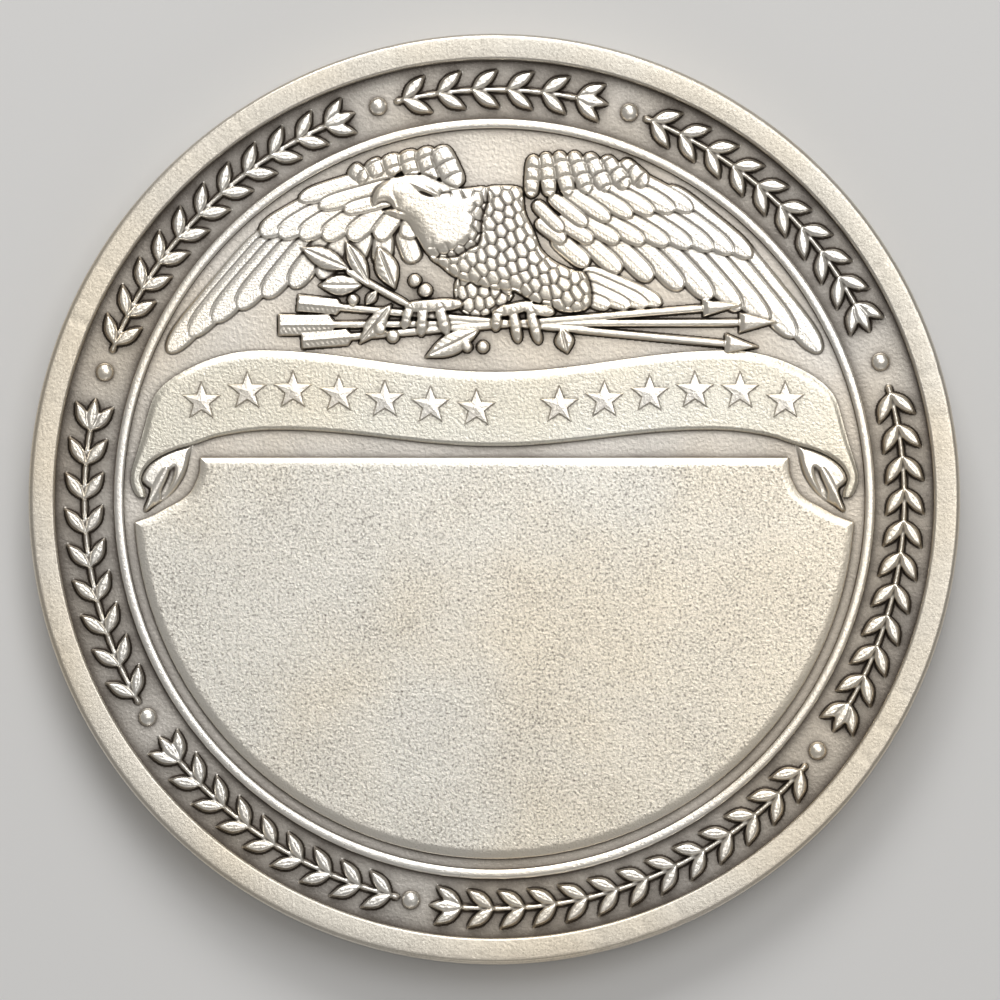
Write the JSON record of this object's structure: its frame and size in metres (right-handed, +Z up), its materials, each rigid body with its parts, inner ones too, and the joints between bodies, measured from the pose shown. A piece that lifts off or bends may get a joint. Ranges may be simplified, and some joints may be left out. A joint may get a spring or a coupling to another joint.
{
  "type": "challenge coin",
  "caption": "Round struck brass challenge coin with a raised rim, a laurel legend ring, an eagle over a ribbon of stars and a blank engraving panel.",
  "frame": {"origin": "centre of the coin's bounding box, on the plane that the reverse rim rests on", "axes": "+Z up out of the obverse, +Y towards the top of the obverse design, +X to the design's right as it is read"},
  "size_m": [0.0446, 0.0446, 0.0032],
  "materials": {
    "field_brass": "antique patina, fine matte stipple",
    "rim_brass": "polished, lightly worn",
    "raised_brass": "antique polish, dark in the recesses",
    "panel_brass": "fine satin brush with a polished chamfer"
  },
  "bodies": {
    "root": {"planchet": "field_brass", "rim": "rim_brass", "wire_ring": "raised_brass", "legend_pearls": "raised_brass", "laurel_spray_1": "raised_brass", "laurel_spray_2": "raised_brass", "laurel_spray_3": "raised_brass", "laurel_spray_4": "raised_brass", "laurel_spray_5": "raised_brass", "laurel_spray_6": "raised_brass", "laurel_spray_7": "raised_brass", "engraving_panel": "panel_brass", "ribbon": "raised_brass", "ribbon_fold_left": "raised_brass", "ribbon_fold_right": "raised_brass", "ribbon_stars_left": "raised_brass", "ribbon_stars_right": "raised_brass", "eagle_head": "raised_brass", "eagle_body": "raised_brass", "eagle_thigh": "raised_brass", "eagle_tail": "raised_brass", "eagle_foot_left": "raised_brass", "eagle_foot_right": "raised_brass", "wing_left_primaries": "raised_brass", "wing_left_coverts": "raised_brass", "wing_left_lessers": "raised_brass", "wing_left_shoulder": "raised_brass", "wing_right_primaries": "raised_brass", "wing_right_coverts": "raised_brass", "wing_right_lessers": "raised_brass", "wing_right_shoulder": "raised_brass", "arrow_1": "raised_brass", "arrow_2": "raised_brass", "arrow_3": "raised_brass", "olive_stem": "raised_brass", "olive_leaves": "raised_brass", "hanging_leaves": "raised_brass", "berries": "raised_brass", "reverse_ring": "raised_brass", "reverse_pearls": "raised_brass", "reverse_star": "raised_brass", "reverse_wreath_left": "raised_brass", "reverse_wreath_right": "raised_brass"}
  },
  "joints": []
}
